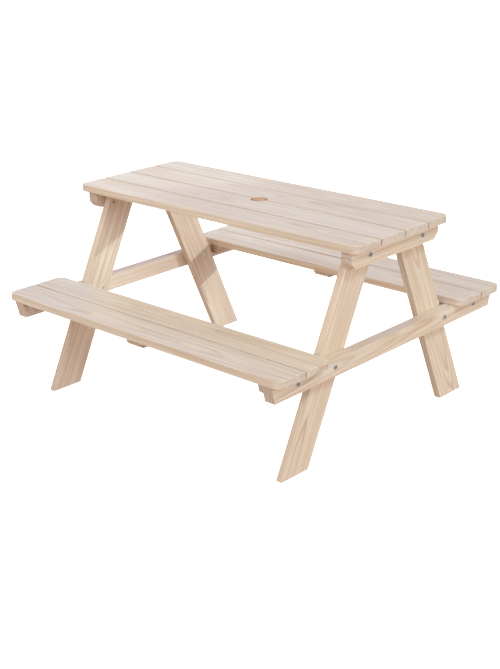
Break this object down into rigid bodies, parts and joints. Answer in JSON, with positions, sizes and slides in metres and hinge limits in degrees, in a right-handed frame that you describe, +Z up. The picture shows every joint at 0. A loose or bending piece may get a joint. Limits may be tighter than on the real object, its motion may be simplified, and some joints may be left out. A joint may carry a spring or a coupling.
{
  "type": "kids picnic table",
  "caption": "Small wooden picnic table for children: slatted top with a parasol hole, two attached slatted benches and splayed bolted legs.",
  "frame": {"origin": "on the floor below the middle of the table", "axes": "+X along the boards to the right end, +Y from the front bench to the back bench, +Z up"},
  "size_m": [0.9, 0.876, 0.514],
  "materials": {
    "board_pine": "planed pale pine with straight grain, lightly oiled",
    "frame_pine": "planed pine, a little warmer than the boards",
    "batten_pine": "planed pine",
    "dark_bolt_steel": "dull grey steel",
    "zinc_steel": "bright zinc plate"
  },
  "bodies": {
    "root": {"bench_back_inner_board": "board_pine", "bench_back_outer_board": "board_pine", "bench_cleat_back_left": "batten_pine", "bench_cleat_back_right": "batten_pine", "bench_cleat_front_left": "batten_pine", "bench_cleat_front_right": "batten_pine", "bench_front_inner_board": "board_pine", "bench_front_outer_board": "board_pine", "bench_middle_cleat_back": "batten_pine", "bench_middle_cleat_front": "batten_pine", "cleat_back_left_bolt": "dark_bolt_steel", "cleat_back_left_nut": "zinc_steel", "cleat_back_left_washer": "zinc_steel", "cleat_back_right_bolt": "dark_bolt_steel", "cleat_back_right_nut": "zinc_steel", "cleat_back_right_washer": "zinc_steel", "cleat_front_left_bolt": "dark_bolt_steel", "cleat_front_left_nut": "zinc_steel", "cleat_front_left_washer": "zinc_steel", "cleat_front_right_bolt": "dark_bolt_steel", "cleat_front_right_nut": "zinc_steel", "cleat_front_right_washer": "zinc_steel", "leg_back_left": "frame_pine", "leg_back_right": "frame_pine", "leg_front_left": "frame_pine", "leg_front_right": "frame_pine", "leg_seat_back_left_bolt": "dark_bolt_steel", "leg_seat_back_left_nut": "zinc_steel", "leg_seat_back_left_washer": "zinc_steel", "leg_seat_back_right_bolt": "dark_bolt_steel", "leg_seat_back_right_nut": "zinc_steel", "leg_seat_back_right_washer": "zinc_steel", "leg_seat_front_left_bolt": "dark_bolt_steel", "leg_seat_front_left_nut": "zinc_steel", "leg_seat_front_left_washer": "zinc_steel", "leg_seat_front_right_bolt": "dark_bolt_steel", "leg_seat_front_right_nut": "zinc_steel", "leg_seat_front_right_washer": "zinc_steel", "leg_top_back_left_bolt": "dark_bolt_steel", "leg_top_back_left_nut": "zinc_steel", "leg_top_back_left_washer": "zinc_steel", "leg_top_back_right_bolt": "dark_bolt_steel", "leg_top_back_right_nut": "zinc_steel", "leg_top_back_right_washer": "zinc_steel", "leg_top_front_left_bolt": "dark_bolt_steel", "leg_top_front_left_nut": "zinc_steel", "leg_top_front_left_washer": "zinc_steel", "leg_top_front_right_bolt": "dark_bolt_steel", "leg_top_front_right_nut": "zinc_steel", "leg_top_front_right_washer": "zinc_steel", "seat_beam_left": "frame_pine", "seat_beam_right": "frame_pine", "top_batten": "batten_pine", "top_beam_left": "frame_pine", "top_beam_right": "frame_pine", "top_board_back": "board_pine", "top_board_front": "board_pine", "top_board_middle_back": "board_pine", "top_board_middle_front": "board_pine"}
  },
  "joints": []
}
